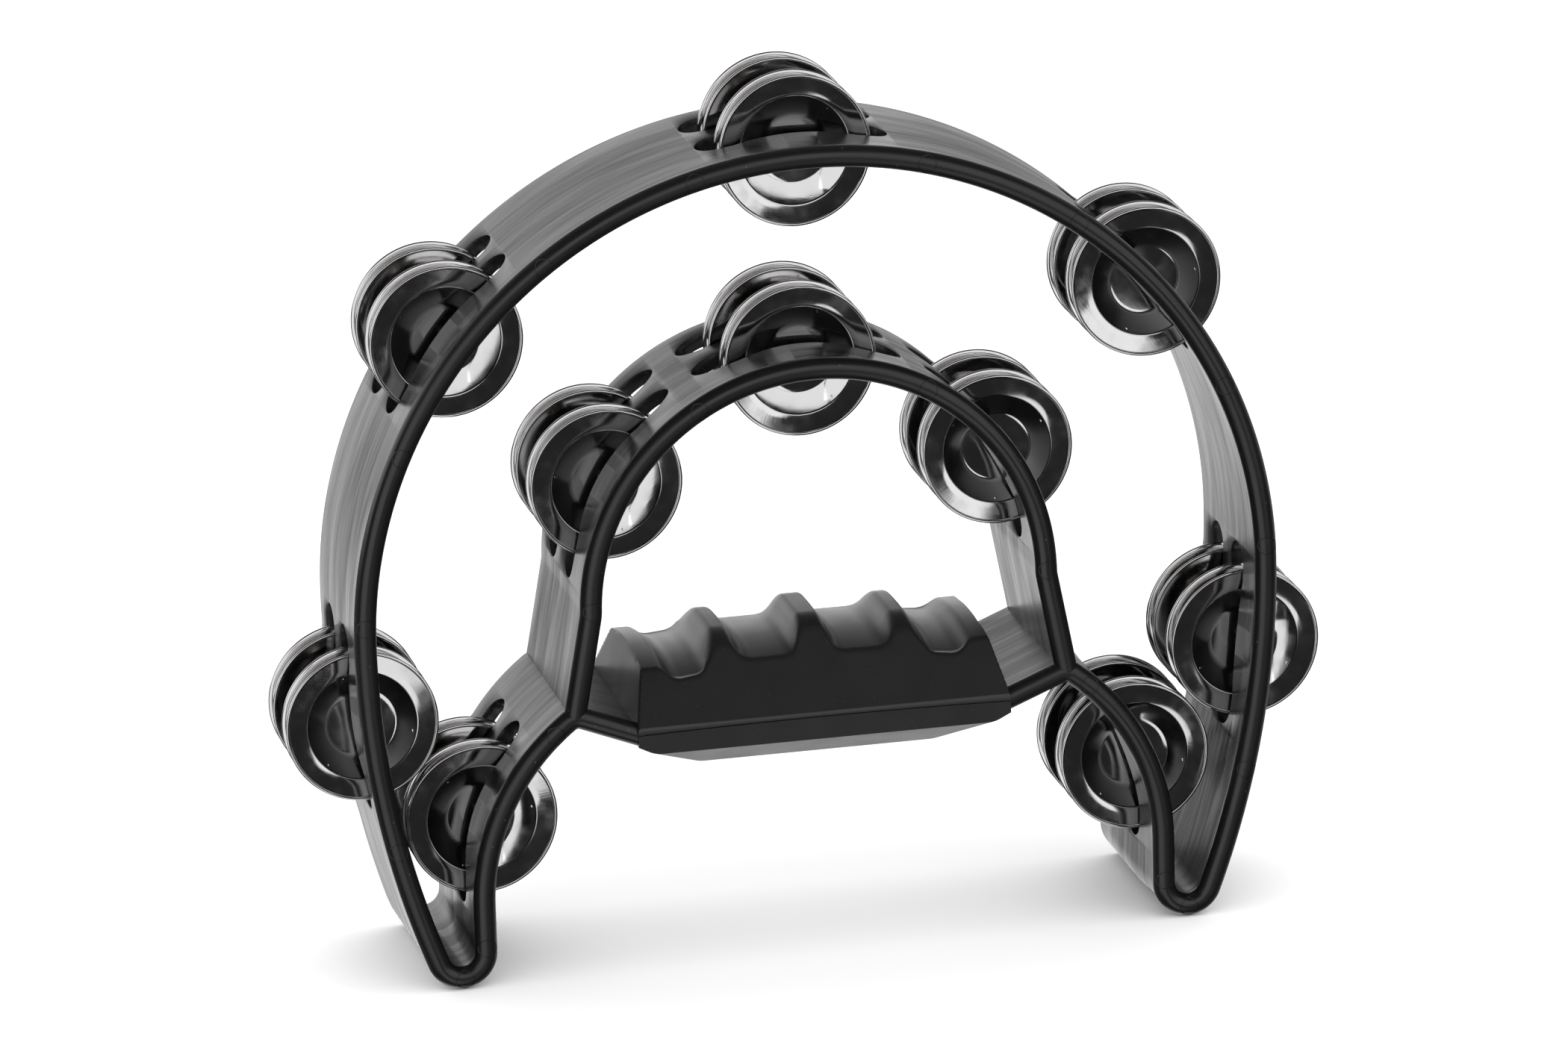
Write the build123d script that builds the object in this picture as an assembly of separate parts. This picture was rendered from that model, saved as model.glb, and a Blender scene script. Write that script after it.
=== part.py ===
"""Half-moon tambourine: a moulded double-arch frame, a two-part hand grip, ten pins and forty jingles.

Millimetres. +X to the right, +Y towards the back, +Z up. The origin is on the surface that the two horn
tips stand on, midway between the tips and midway between the front and the back.
"""
import os
from math import atan2, cos, degrees, radians, sin

from build123d import *

# ---- driving dimensions: frame ----
BEAD_RADIUS = 3.1  # round bead along the front edge of every band
BEAD_Y = -26.9  # bead centre line
BAND_BACK_Y = 30.0  # plain back edge of the bands
BAND_THICKNESS = 4.0
OUTER_RADIUS = 126.6  # centre line of the outer arch
OUTER_CENTRE_Z = 100.4
INNER_RADIUS = 64.0  # centre line of the inner arch
INNER_CENTRE_Z = 103.6
JUNCTION = (69.3, 75.1)  # where inner leg, horn and handle bar meet
HORN_RADIUS = 63.6  # concave inner side of each horn
HORN_X = 96.3  # straight stretch above each tip
HORN_CENTRE_Z = 23.1
TIP_RADIUS = 6.8
TIP_SHOE_TOP_Z = 34.0  # below this the tip thickens to the bead's width, and stands on its whole depth
TIP_SHOE_SIDE_X = 113.6
GRIP_END_X = 52.5
BAR_END_Z = 68.4

# ---- driving dimensions: stations, slots and pins ----
UPPER_ANGLE = 39.2  # degrees above the horizontal, on the outer arch
LOWER_ANGLE = -5.9  # on the lower outer side
INNER_ANGLE = 30.6
HORN_ANGLE = 18.7
ROW_Y = {"front": -5.0, "back": 15.4}
SLOT_WIDTH = 12.0
SLOT_HALF_OUTER = 26.5  # also in the horns
SLOT_HALF_INNER = 29.5
SLOT_STRAIGHT_HALF = 21.0  # half the length of the parallel sides, between the pointed ends
SLOT_CUT_OUTWARD = 4.5
SLOT_CUT_INWARD = 11.0
PAD_HALF_LENGTH = 17.0  # local thickening that carries the pin
PAD_HALF_THICKNESS = 3.0
TOP_PIN_DROP = 1.2  # the two top pins lie this far below the band's middle
PIN_RADIUS = 1.25
PIN_HOLE_RADIUS = 1.27
PIN_TIP_Y = -25.0  # blind end, inside the bead
PIN_HEAD_RADIUS = 2.1
PIN_HEAD_HEIGHT = 0.5

# ---- driving dimensions: jingles ----
JINGLE_RADIUS = 21.25
JINGLE_HOLE_RADIUS = 2.5
JINGLE_SHEET = 0.5
JINGLE_DEPTH = 3.6
LIP_RADIUS = 0.65
BRIM_DEPTH = 0.5  # how far the brim lies behind the lip's front
RING_RADIUS = 15.6  # step between the flat brim and the dish
RING_STEP = 0.5
DISH_RADIUS = 9.0
HUB_RADIUS = 4.0
JINGLE_HANG = 1.2  # the loose hole lets each jingle hang below its pin
WALL_GAP = 0.4  # between a jingle and the slot's wall
PAIR_GAP = 0.4  # between the two dishes of a pair, at rest

# ---- driving dimensions: grip ----
GRIP_HALF_DEPTH = 30.5
GRIP_TOP_HALF_DEPTH = 17.0
GRIP_CREST_HALF_DEPTH = 12.7
GRIP_BASE_HALF_DEPTH = 18.5
GRIP_SEAM_Z = 68.8
GRIP_WAIST_Z = 70.4
GRIP_SHOULDER_Z = 88.0
GRIP_TOP_Z = 92.6
GRIP_BASE_Z = 55.6
GRIP_BASE_HALF_LENGTH = 33.0
GRIP_SKIRT_Z = 63.0
GRIP_SKIRT_END_Z = 65.3
RIDGE_FILLET = 1.6
CORE_HALF_DEPTH = 22.0
CORE_HALF_THICKNESS = 2.0
CAVITY_HALF_LENGTH = 42.0
CAVITY_HALF_DEPTH = 11.0
CAVITY_TOP_Z = 78.5
SCREW_X = 28.0
SCREW_RADIUS = 1.55
SCREW_HOLE_RADIUS = 1.6
SCREW_CLEARANCE_RADIUS = 1.9
SCREW_HEAD_RADIUS = 3.3
SCREW_HEAD_HEIGHT = 2.2
SCREW_RECESS_RADIUS = 3.7
SCREW_SEAT_Z = 59.5
SCREW_TIP_Z = 77.0
BOSS_RADIUS = 4.0

# ---- worked out from the dimensions above ----
TIP_CENTRE = (HORN_X + TIP_RADIUS, TIP_RADIUS + BEAD_RADIUS)
TIP_INSET = OUTER_RADIUS - TIP_CENTRE[0]
TIP_DROP = OUTER_CENTRE_Z - TIP_CENTRE[1]
# the side's radius makes it tangent both to the outer arch and to the tip
SIDE_RADIUS = (TIP_INSET**2 + TIP_DROP**2 - TIP_RADIUS**2) / (2 * (TIP_INSET - TIP_RADIUS))
OUTER_CENTRE = (0.0, OUTER_CENTRE_Z)
SIDE_CENTRE = (OUTER_RADIUS - SIDE_RADIUS, OUTER_CENTRE_Z)
INNER_CENTRE = (0.0, INNER_CENTRE_Z)
HORN_CENTRE = (HORN_X - HORN_RADIUS, HORN_CENTRE_Z)
SIDE_END_ANGLE = degrees(atan2(TIP_CENTRE[1] - SIDE_CENTRE[1], TIP_CENTRE[0] - SIDE_CENTRE[0]))
JUNCTION_ANGLE = degrees(atan2(JUNCTION[1] - HORN_CENTRE[1], JUNCTION[0] - HORN_CENTRE[0]))

# each station: centre of its band's arc, the arc's radius, angle on it, and the slots' half length
STATIONS = {
    "outer_top": (OUTER_CENTRE, OUTER_RADIUS, 90.0, SLOT_HALF_OUTER),
    "outer_upper": (OUTER_CENTRE, OUTER_RADIUS, UPPER_ANGLE, SLOT_HALF_OUTER),
    "outer_lower": (SIDE_CENTRE, SIDE_RADIUS, LOWER_ANGLE, SLOT_HALF_OUTER),
    "inner_top": (INNER_CENTRE, INNER_RADIUS, 90.0, SLOT_HALF_INNER),
    "inner_upper": (INNER_CENTRE, INNER_RADIUS, INNER_ANGLE, SLOT_HALF_INNER),
    "inner_lower": (HORN_CENTRE, HORN_RADIUS, HORN_ANGLE, SLOT_HALF_OUTER),
}


def polar(centre, radius, angle):
    """The point on a circle in the front view, with the angle in degrees from +X."""
    return (centre[0] + radius * cos(radians(angle)), centre[1] + radius * sin(radians(angle)))


def prism(face, near_y, far_y):
    """A front-view face made solid from near_y back to far_y."""
    return extrude(Plane.XZ.offset(-far_y) * face, far_y - near_y)


def rod(x, z, radius, near_y, far_y):
    return prism(Pos(x, z) * Circle(radius), near_y, far_y)


# ---- frame ----


def band_paths():
    """Centre lines of the right half's bands: each path is a list of arcs and lines that meet end to end."""
    outer = [
        CenterArc(OUTER_CENTRE, OUTER_RADIUS, 0, 90),
        CenterArc(SIDE_CENTRE, SIDE_RADIUS, SIDE_END_ANGLE, -SIDE_END_ANGLE),
        CenterArc(TIP_CENTRE, TIP_RADIUS, 180, 180 + SIDE_END_ANGLE),
        Line((HORN_X, TIP_CENTRE[1]), (HORN_X, HORN_CENTRE_Z)),
        CenterArc(HORN_CENTRE, HORN_RADIUS, 0, JUNCTION_ANGLE),
    ]
    arch = [CenterArc(INNER_CENTRE, INNER_RADIUS, 0, 90)]
    leg = [Line((INNER_RADIUS, INNER_CENTRE_Z), JUNCTION)]
    bar = [Line(JUNCTION, (GRIP_END_X, BAR_END_Z))]
    return [outer, arch, leg, bar]


def band_strip(edge):
    """The band's face along one arc or line, half the thickness on each side of it."""
    return make_face(Face.sweep(edge.perpendicular_line(BAND_THICKNESS, 0), edge).edges())


def tip_shoe():
    """Thickens the tip's outside to the bead's width, fading into both sides."""
    half_band = BAND_THICKNESS / 2
    outside = make_hull(
        (Pos(*TIP_CENTRE) * Circle(TIP_RADIUS + BEAD_RADIUS)).edges()
        + (Pos(HORN_X, TIP_SHOE_TOP_Z) * Circle(half_band)).edges()
        + (Pos(TIP_SHOE_SIDE_X + half_band, TIP_SHOE_TOP_Z) * Circle(half_band)).edges()
    )
    inside = make_hull(
        (Pos(*TIP_CENTRE) * Circle(TIP_RADIUS - half_band)).edges()
        + (Pos(HORN_X + half_band + 1, 2 * TIP_SHOE_TOP_Z) * Circle(1)).edges()
        + (Pos(TIP_SHOE_SIDE_X + 7, 2 * TIP_SHOE_TOP_Z) * Circle(1)).edges()
    )
    return outside - inside


def station_plane(name):
    """The plane tangent to the band at a station: local x runs along the band, local z points outwards."""
    centre, radius, angle, _ = STATIONS[name]
    x, z = polar(centre, radius, angle)
    outward = (cos(radians(angle)), 0, sin(radians(angle)))
    along = (-sin(radians(angle)), 0, cos(radians(angle)))
    return Plane(origin=(x, 0, z), x_dir=along, z_dir=outward)


def pin_place(name):
    """A pin's place in the front view, on the right half."""
    x, z = polar(*STATIONS[name][:3])
    return (x, z - TOP_PIN_DROP) if name.endswith("top") else (x, z)


def pin_pad(name):
    """The lens-shaped thickening round a station's pin, over the whole depth of the band."""
    centre, radius, angle, _ = STATIONS[name]
    ends = (-PAD_HALF_LENGTH, 0), (PAD_HALF_LENGTH, 0)
    lens = make_face(
        ThreePointArc(ends[0], (0, PAD_HALF_THICKNESS), ends[1])
        + ThreePointArc(ends[1], (0, -PAD_HALF_THICKNESS), ends[0])
    )
    return Pos(*polar(centre, radius, angle)) * Rot(0, 0, angle - 90) * lens


def slot(name, row_y):
    """One slot's cutter: parallel sides and two pointed ends, cut square through the band."""
    point = STATIONS[name][3] - SLOT_STRAIGHT_HALF
    outline = (
        Rectangle(2 * SLOT_STRAIGHT_HALF, SLOT_WIDTH)
        + Pos(SLOT_STRAIGHT_HALF, 0) * Ellipse(point, SLOT_WIDTH / 2)
        + Pos(-SLOT_STRAIGHT_HALF, 0) * Ellipse(point, SLOT_WIDTH / 2)
    )
    plane = station_plane(name)
    face = Plane(origin=plane.origin + Vector(0, row_y, 0), x_dir=plane.x_dir, z_dir=plane.z_dir) * outline
    return extrude(face, SLOT_CUT_OUTWARD) + extrude(face, -SLOT_CUT_INWARD)


def frame():
    """The one-piece moulded frame: bands, beads, pin pads and the handle's flat core."""
    strips = Sketch() + [band_strip(edge) for path in band_paths() for edge in path]
    strips += [Pos(*JUNCTION) * Circle(BAND_THICKNESS / 2)]
    strips += [tip_shoe()]
    strips += [pin_pad(name) for name in STATIONS]
    half = prism(strips, BEAD_Y, BAND_BACK_Y)
    for path in band_paths():
        wire = Wire([Plane.XZ.offset(-BEAD_Y) * edge for edge in path])
        half += sweep(Plane(wire @ 0, z_dir=wire % 0) * Circle(BEAD_RADIUS), wire)
    half += Pos(JUNCTION[0], BEAD_Y, JUNCTION[1]) * Sphere(BEAD_RADIUS)
    half += Pos(INNER_RADIUS, BEAD_Y, INNER_CENTRE_Z) * Sphere(BEAD_RADIUS)
    for name in STATIONS:
        for row_y in ROW_Y.values():
            half -= slot(name, row_y)
        half -= rod(*pin_place(name), PIN_HOLE_RADIUS, PIN_TIP_Y, BAND_BACK_Y)
    half = half & Pos(SIDE_RADIUS / 2, 0, OUTER_CENTRE_Z) * Box(SIDE_RADIUS, SIDE_RADIUS, 2 * SIDE_RADIUS)
    half -= Pos(0, 0, BAR_END_Z) * Box(2 * GRIP_END_X, 2 * SIDE_RADIUS, 4 * BEAD_RADIUS)
    core = Pos(0, 0, BAR_END_Z) * Box(2 * GRIP_END_X, 2 * CORE_HALF_DEPTH, 2 * CORE_HALF_THICKNESS)
    for x in (-SCREW_X, SCREW_X):
        core -= Pos(x, 0, BAR_END_Z) * Cylinder(SCREW_CLEARANCE_RADIUS, 4 * CORE_HALF_THICKNESS)
    return half + mirror(half, about=Plane.YZ) + core


# ---- jingles ----


def jingle():
    """One sheet-steel jingle on the Y axis: rolled lip at y = 0, dish going back, a loose centre hole."""
    front = [
        (JINGLE_HOLE_RADIUS, JINGLE_DEPTH - JINGLE_SHEET),
        (HUB_RADIUS, JINGLE_DEPTH - JINGLE_SHEET),
        (DISH_RADIUS, JINGLE_DEPTH - JINGLE_SHEET - 0.4),
        (RING_RADIUS - RING_STEP, BRIM_DEPTH + 2 * RING_STEP),
        (RING_RADIUS, BRIM_DEPTH + RING_STEP),
        (JINGLE_RADIUS - LIP_RADIUS, BRIM_DEPTH),
    ]
    back = [(r, y + JINGLE_SHEET) for r, y in reversed(front)]
    section = make_face(Polyline(*front, *back, close=True))
    lip = Pos(JINGLE_RADIUS - LIP_RADIUS, LIP_RADIUS) * Circle(LIP_RADIUS)
    return revolve(section + lip, Axis.Y)


# ---- grip ----


def grip_top_profile():
    """Front view of the upper grip: five ridges and four finger grooves."""
    groove_1 = [(20.2, 85.0), (6.0, 85.0)]
    ridge_1 = [(2.9, GRIP_TOP_Z), (-2.9, GRIP_TOP_Z)]
    ridge_2 = [(27.6, 90.6), (23.4, 90.6)]
    groove_2 = [(40.8, 81.9), (31.6, 82.3)]
    ridge_3 = [(48.4, 84.9), (43.6, 84.9)]
    right = [(GRIP_END_X, GRIP_SEAM_Z), (GRIP_END_X, GRIP_WAIST_Z)]
    right += ridge_3 + groove_2 + ridge_2 + groove_1
    left = [(-x, z) for x, z in reversed(right)]
    face = make_face(Polyline(*right, *ridge_1, *left, close=True))
    rounded = [v for v in face.vertices() if v.Y > GRIP_WAIST_Z + 1]
    return fillet(rounded, RIDGE_FILLET)


def grip_upper():
    side = make_face(Polyline(
        (-GRIP_HALF_DEPTH, GRIP_SEAM_Z), (GRIP_HALF_DEPTH, GRIP_SEAM_Z),
        (GRIP_HALF_DEPTH, GRIP_WAIST_Z), (GRIP_TOP_HALF_DEPTH, GRIP_SHOULDER_Z),
        (GRIP_CREST_HALF_DEPTH, GRIP_TOP_Z + 1), (-GRIP_CREST_HALF_DEPTH, GRIP_TOP_Z + 1),
        (-GRIP_TOP_HALF_DEPTH, GRIP_SHOULDER_Z), (-GRIP_HALF_DEPTH, GRIP_WAIST_Z), close=True))
    body = prism(grip_top_profile(), -GRIP_HALF_DEPTH, GRIP_HALF_DEPTH)
    body = body & extrude(Plane.YZ.offset(-GRIP_END_X) * side, 2 * GRIP_END_X)
    core_top = BAR_END_Z + CORE_HALF_THICKNESS
    body -= Pos(0, 0, GRIP_SEAM_Z) * Box(4 * GRIP_END_X, 2 * CORE_HALF_DEPTH, 2 * (core_top - GRIP_SEAM_Z))
    cavity = Pos(0, 0, (core_top + CAVITY_TOP_Z) / 2) * Box(
        2 * CAVITY_HALF_LENGTH, 2 * CAVITY_HALF_DEPTH, CAVITY_TOP_Z - core_top)
    for x in (-SCREW_X, SCREW_X):
        cavity -= Pos(x, 0, core_top) * Cylinder(BOSS_RADIUS, 2 * (CAVITY_TOP_Z - core_top))
    body -= cavity
    for x in (-SCREW_X, SCREW_X):
        body -= Pos(x, 0, core_top) * Cylinder(SCREW_HOLE_RADIUS, 2 * (SCREW_TIP_Z - core_top))
    return body


def grip_cover():
    """Lower half of the grip: a shallow keel that closes the underside round the frame's core."""
    right = [(GRIP_BASE_HALF_LENGTH, GRIP_BASE_Z), (GRIP_END_X, GRIP_SKIRT_END_Z), (GRIP_END_X, GRIP_SEAM_Z)]
    front = make_face(Polyline(*right, *[(-x, z) for x, z in reversed(right)], close=True))
    edge = [
        (GRIP_BASE_HALF_DEPTH, GRIP_BASE_Z),
        (GRIP_HALF_DEPTH, GRIP_SKIRT_Z),
        (GRIP_HALF_DEPTH, GRIP_SEAM_Z),
    ]
    side = make_face(Polyline(*edge, *[(-y, z) for y, z in reversed(edge)], close=True))
    body = prism(front, -GRIP_HALF_DEPTH, GRIP_HALF_DEPTH)
    body = body & extrude(Plane.YZ.offset(-GRIP_END_X) * side, 2 * GRIP_END_X)
    core_bottom = BAR_END_Z - CORE_HALF_THICKNESS
    slot_height = 2 * (GRIP_SEAM_Z - core_bottom)
    body -= Pos(0, 0, GRIP_SEAM_Z) * Box(4 * GRIP_END_X, 2 * CORE_HALF_DEPTH, slot_height)
    for x in (-SCREW_X, SCREW_X):
        body -= Pos(x, 0, GRIP_SEAM_Z) * Cylinder(SCREW_CLEARANCE_RADIUS, 4 * BEAD_RADIUS + 20)
        body -= Pos(x, 0, SCREW_SEAT_Z - 10) * Cylinder(SCREW_RECESS_RADIUS, 20)
    return body


def grip_screws():
    """Two pan-head screws, driven up from below through the cover and the core into the upper grip."""
    screws = []
    for x in (-SCREW_X, SCREW_X):
        head = Cylinder(SCREW_HEAD_RADIUS, SCREW_HEAD_HEIGHT)
        head = Pos(x, 0, SCREW_SEAT_Z - SCREW_HEAD_HEIGHT / 2) * head
        length = SCREW_TIP_Z - 1 - SCREW_SEAT_Z
        shank = Pos(x, 0, SCREW_SEAT_Z + length / 2) * Cylinder(SCREW_RADIUS, length)
        screws.append(head + shank)
    return Compound(children=[Part(s.wrapped) for s in screws])


# ---- pins ----


def pin():
    """A long nail pin on the Y axis, driven in from the back, with a thin flat head."""
    shank = rod(0, 0, PIN_RADIUS, PIN_TIP_Y, BAND_BACK_Y)
    return shank + rod(0, 0, PIN_HEAD_RADIUS, BAND_BACK_Y, BAND_BACK_Y + PIN_HEAD_HEIGHT)


# ---- assembly ----


def station_places():
    """Each station's full name and its pin's place in the front view, on both sides."""
    places = {}
    for name in STATIONS:
        x, z = pin_place(name)
        if name.endswith("top"):
            places[name] = (0.0, z)
        else:
            places[f"{name}_left"] = (-x, z)
            places[f"{name}_right"] = (x, z)
    return places


def parts():
    nodes = {
        "frame": frame(),
        "grip_upper": grip_upper(),
        "grip_cover": grip_cover(),
        "grip_screws": grip_screws(),
    }
    one_pin = pin()
    fore = jingle()
    aft = mirror(fore, about=Plane.XZ)
    for station, (x, z) in station_places().items():
        nodes[f"pin_{station}"] = Pos(x, 0, z) * one_pin
        for row, row_y in ROW_Y.items():
            lip_y = row_y - SLOT_WIDTH / 2 + WALL_GAP
            hang = z - JINGLE_HANG
            nodes[f"jingle_{station}_{row}_fore"] = Pos(x, lip_y, hang) * fore
            nodes[f"jingle_{station}_{row}_aft"] = Pos(x, lip_y + 2 * JINGLE_DEPTH + PAIR_GAP, hang) * aft
    return nodes


os.makedirs("parts", exist_ok=True)
for node, solid in parts().items():
    export_step(solid, f"parts/{node}.step")
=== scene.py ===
import math

import bmesh
import bpy
from mathutils import Matrix, Vector


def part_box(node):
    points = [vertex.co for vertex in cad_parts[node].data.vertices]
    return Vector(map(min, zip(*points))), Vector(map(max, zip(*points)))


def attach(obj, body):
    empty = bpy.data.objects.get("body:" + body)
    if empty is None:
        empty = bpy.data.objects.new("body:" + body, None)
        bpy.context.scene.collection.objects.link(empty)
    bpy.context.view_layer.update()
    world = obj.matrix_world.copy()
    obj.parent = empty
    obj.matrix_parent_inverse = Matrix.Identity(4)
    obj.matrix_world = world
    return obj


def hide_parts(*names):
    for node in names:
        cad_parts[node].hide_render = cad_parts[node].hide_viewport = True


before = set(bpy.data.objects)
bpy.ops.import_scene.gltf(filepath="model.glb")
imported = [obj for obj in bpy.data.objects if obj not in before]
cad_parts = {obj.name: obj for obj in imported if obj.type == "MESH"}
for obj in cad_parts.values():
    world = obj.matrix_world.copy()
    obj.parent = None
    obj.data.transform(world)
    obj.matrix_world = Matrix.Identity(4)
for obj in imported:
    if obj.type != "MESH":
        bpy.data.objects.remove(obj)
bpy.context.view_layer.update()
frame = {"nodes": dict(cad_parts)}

bl_info = {
    "name": "Half-moon tambourine",
    "version": (1, 0, 0),
    "blender": (4, 5, 0),
    "location": "View3D > Sidebar > Tambourine",
    "description": "Builds the finished surfaces of a half-moon tambourine round its CAD frame",
    "category": "Add Mesh",
}

MM = 0.001
ROOT = "frame_and_grip"
# distance from the grip's middle and height of the finger ridges' corners, in millimetres
RIDGE_KNOTS = [
    (0, 92.6), (3.3, 92.6), (5.6, 86.6), (7.6, 85.1), (18.2, 84.9), (20.6, 86.0), (23.1, 90.6),
    (27.9, 90.6), (30.9, 84.0), (32.8, 82.5), (39.0, 81.8), (41.4, 82.6), (43.5, 84.9), (60.0, 84.9),
]
STATIONS = [
    "outer_top", "outer_upper_left", "outer_upper_right", "outer_lower_left", "outer_lower_right",
    "inner_top", "inner_upper_left", "inner_upper_right", "inner_lower_left", "inner_lower_right",
]
ROWS = ["front", "back"]
SIDES = ["fore", "aft"]
FASTENER_STEPS = 24
# the frame's sizes that its node group reads as they are
WRAP_SIZES = [
    "pad_half", "pad_rise", "web_half", "tip_top", "mark_radius", "mark_line", "bead_radius", "bead_y"]


def length(name, default, description):
    """A length property whose default is given in millimetres."""
    return bpy.props.FloatProperty(
        name=name, description=description, default=default * MM,
        unit="LENGTH", subtype="DISTANCE", precision=5)


def angle(name, default, description):
    """An angle property whose default is given in degrees."""
    return bpy.props.FloatProperty(
        name=name, description=description, default=math.radians(default),
        unit="ROTATION", subtype="ANGLE")


def colour(name, hex_value, description):
    """A colour property whose default is an sRGB hex value."""
    return bpy.props.FloatVectorProperty(
        name=name, description=description, default=linear(hex_value),
        size=3, min=0, max=1, subtype="COLOR")


def linear(hex_value):
    """An sRGB hex value as a linear colour."""
    channels = [int(hex_value[i:i + 2], 16) / 255 for i in (1, 3, 5)]
    return tuple(c / 12.92 if c <= 0.04045 else ((c + 0.055) / 1.055) ** 2.4 for c in channels)


# ---------------------------------------------------------------- sizes and colours


class TAMB_PG_frame(bpy.types.PropertyGroup):
    bead_radius: length("Bead radius", 3.1, "Radius of the round bead along the front edge")
    bead_y: length("Bead position", -26.9, "Where the bead's centre line lies from front to back")
    web_half: length("Web half thickness", 2.0, "Half the thickness of the flat web behind the bead")
    web_back: length("Web back edge", 30.0, "Where the web's plain back edge lies")
    outer_radius: length("Outer arch radius", 126.6, "Centre line of the outer arch")
    outer_z: length("Outer arch centre", 100.4, "Height of the outer arch's centre")
    inner_radius: length("Inner arch radius", 64.0, "Centre line of the inner arch")
    inner_z: length("Inner arch centre", 103.6, "Height of the inner arch's centre")
    junction_x: length("Junction x", 69.3, "Where leg, horn and bar meet")
    junction_z: length("Junction z", 75.1, "Height at which leg, horn and bar meet")
    horn_radius: length("Horn radius", 63.6, "Hollow inner side of each horn")
    horn_x: length("Horn inner side", 96.3, "Straight stretch above each tip")
    horn_z: length("Horn centre height", 23.1, "Height of the centre of the horn's arc")
    tip_radius: length("Tip radius", 6.8, "Centre line round each tip")
    bar_end_x: length("Bar end x", 50.0, "How far the bar runs into the grip")
    bar_end_z: length("Bar end z", 67.4, "Height of the bar's end")
    corner: length("Corner radius", 4.0, "Rounding where horn and bar meet")
    slot_width: length("Slot width", 12.0, "Width of each jingle slot")
    slot_outer: length("Outer slot half length", 26.5, "Half length of the slots in the outer band")
    slot_inner: length("Inner slot half length", 29.5, "Half length of the slots in the inner band")
    slot_straight: length("Slot parallel half length", 21.0, "Half length of the slot's parallel sides")
    row_front: length("Front row", -5.0, "Middle of the front row of slots")
    row_back: length("Back row", 15.4, "Middle of the back row of slots")
    pad_half: length("Pad half length", 17.0, "Half length of the thickening at each pin")
    pad_rise: length("Pad rise", 1.0, "How far each pad stands out of the web")
    tip_top: length("Tip top", 34.0, "Below this height the tip thickens outwards to the bead's width")
    mark_radius: length("Ejector mark radius", 2.5, "Round witness marks of the mould on the bead")
    mark_line: length("Ejector mark line", 0.13, "Half width of the fine line round each mark")
    mark_offset: length("Ejector mark offset", 32.5, "Distance of the marks from each pin along the bead")


class TAMB_PG_grip(bpy.types.PropertyGroup):
    half_length: length("Half length", 52.5, "Half the grip's length at the seam")
    half_depth: length("Half depth", 30.5, "Half the grip's depth at the seam")
    top_half_depth: length("Top half depth", 17.0, "Half the depth at the shoulder")
    seam_z: length("Seam height", 68.8, "Height of the seam between the grip's halves")
    seam_bow: length("Seam bow", 0.7, "How far the seam rises in the middle")
    waist_z: length("Waist height", 70.4, "Where the upper half's sides start to lean in")
    shoulder_z: length("Shoulder height", 88.0, "Where the sides end at the finger ridges")
    lip: length("Lip rounding", 0.4, "Rounding between the sides and the top")
    crown: length("Groove crown", 1.6, "How far the grooves rise towards the middle of the depth")
    base_z: length("Base height", 55.6, "Flat underside")
    base_half_length: length("Base half length", 33.0, "Half length of the flat underside")
    base_half_depth: length("Base half depth", 18.5, "Half depth of the flat underside")
    skirt_z: length("Skirt height", 63.0, "Where the cover's front starts to lean in")
    skirt_end_z: length("Skirt end height", 65.3, "Where the cover's ends start to lean in")
    grid: length("Mesh spacing", 0.36, "Distance between the mesh lines of the grip")


class TAMB_PG_jingle(bpy.types.PropertyGroup):
    radius: length("Radius", 21.25, "Outer radius")
    sheet: length("Sheet thickness", 0.5, "Thickness of the steel sheet")
    lip: length("Lip radius", 0.45, "Radius of the rolled lip")
    brim_depth: length("Brim depth", 0.5, "How far the brim lies behind the lip's front")
    brim_slope: length("Brim slope", 0.3, "How much deeper the brim gets towards the ring")
    ring: length("Ring radius", 15.6, "Step between brim and dish")
    ring_step: length("Ring step", 0.45, "Height of the step")
    dish: length("Dish floor radius", 9.6, "Where the dish's side turns into its floor")
    depth: length("Depth", 3.6, "Overall depth with the sheet")
    hole: length("Hole radius", 2.5, "Loose centre hole")
    nub_ring: length("Nub circle", 14.7, "Radius of the circle that the three punched nubs lie on")
    nub_size: length("Nub radius", 1.0, "Radius of each punched nub")
    segments: bpy.props.IntProperty(
        name="Segments", description="Faces round each jingle", default=112, min=24)
    seed: bpy.props.IntProperty(
        name="Seed", description="Fixes how far each jingle is turned", default=7)


class TAMB_PG_finish(bpy.types.PropertyGroup):
    frame_black: colour("Frame", "#111112", "Black ABS of the frame")
    grip_black: colour("Grip", "#1a1a1b", "Matte black ABS of the grip")
    nickel: colour("Jingle", "#dddcdc", "Bright nickel on the jingles")
    pin_steel: colour("Pin", "#b9b6b0", "Bright drawn wire")
    zinc: colour("Screw", "#a9a8a4", "Zinc plating")
    floor: colour("Floor", "#fdfdfd", "Pale seamless paper")


class TAMB_PG_stage(bpy.types.PropertyGroup):
    camera_at: bpy.props.FloatVectorProperty(
        name="Camera", description="Camera position", default=(-0.5563, -2.4415, 0.8793),
        size=3, unit="LENGTH", subtype="TRANSLATION")
    azimuth: angle("Azimuth", 12.76, "How far to the left of the front the camera stands")
    elevation: angle("Elevation", 16.95, "How far the camera looks down")
    roll: angle("Roll", -1.457, "Camera roll")
    lens: bpy.props.FloatProperty(
        name="Lens", description="Focal length on a 36 mm sensor", default=217.94, unit="CAMERA")
    floor_size: length("Floor size", 12000, "Width of the floor")


# ---------------------------------------------------------------- small helpers


def settings():
    return bpy.context.scene.tambourine


def link(name, mesh):
    """A new object at the origin for a finished mesh."""
    obj = bpy.data.objects.new(name, mesh)
    bpy.context.scene.collection.objects.link(obj)
    return obj


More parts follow.
